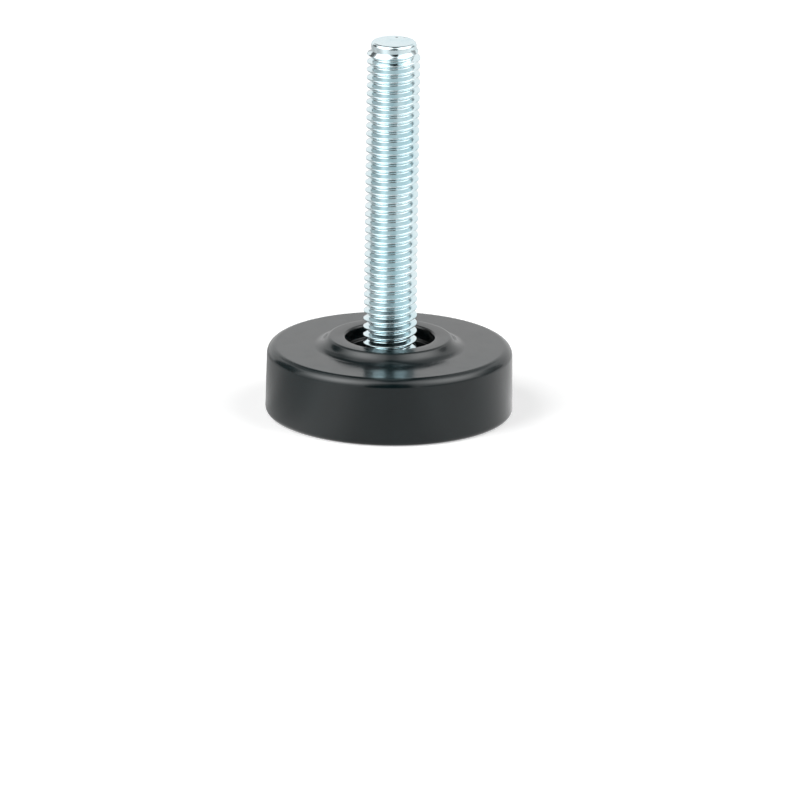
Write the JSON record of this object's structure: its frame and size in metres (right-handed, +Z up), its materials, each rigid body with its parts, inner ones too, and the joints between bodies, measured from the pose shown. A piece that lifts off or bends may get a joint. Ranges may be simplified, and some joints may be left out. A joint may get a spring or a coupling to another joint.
{
  "type": "levelling foot",
  "caption": "Round black plastic base with a ball socket, a swivel hub and an upright metric threaded stud that screws into a leg to level it.",
  "frame": {"origin": "middle of the plane of the rim that the foot stands on", "axes": "+Z up along the stud, away from the floor"},
  "size_m": [0.037, 0.037, 0.0576],
  "materials": {
    "base_plastic": "satin moulded black",
    "hub_plastic": "matt moulded black",
    "zinc_plate": "bright zinc plate with a pale blue tint"
  },
  "bodies": {
    "base": {"base_cup": "base_plastic"},
    "hub": {"swivel_hub": "hub_plastic"},
    "stud": {"threaded_stud": "zinc_plate"}
  },
  "joints": [
    {"name": "hub_tilt", "type": "hinge", "parent": "base", "child": "hub", "pos_m": [0, 0, 0.006], "axis": [0, 1, 0], "range_deg": [-10, 10]},
    {"name": "stud_spin", "type": "hinge", "parent": "hub", "child": "stud", "pos_m": [0, 0, 0.006], "axis": [0, 0, 1], "continuous": true}
  ]
}
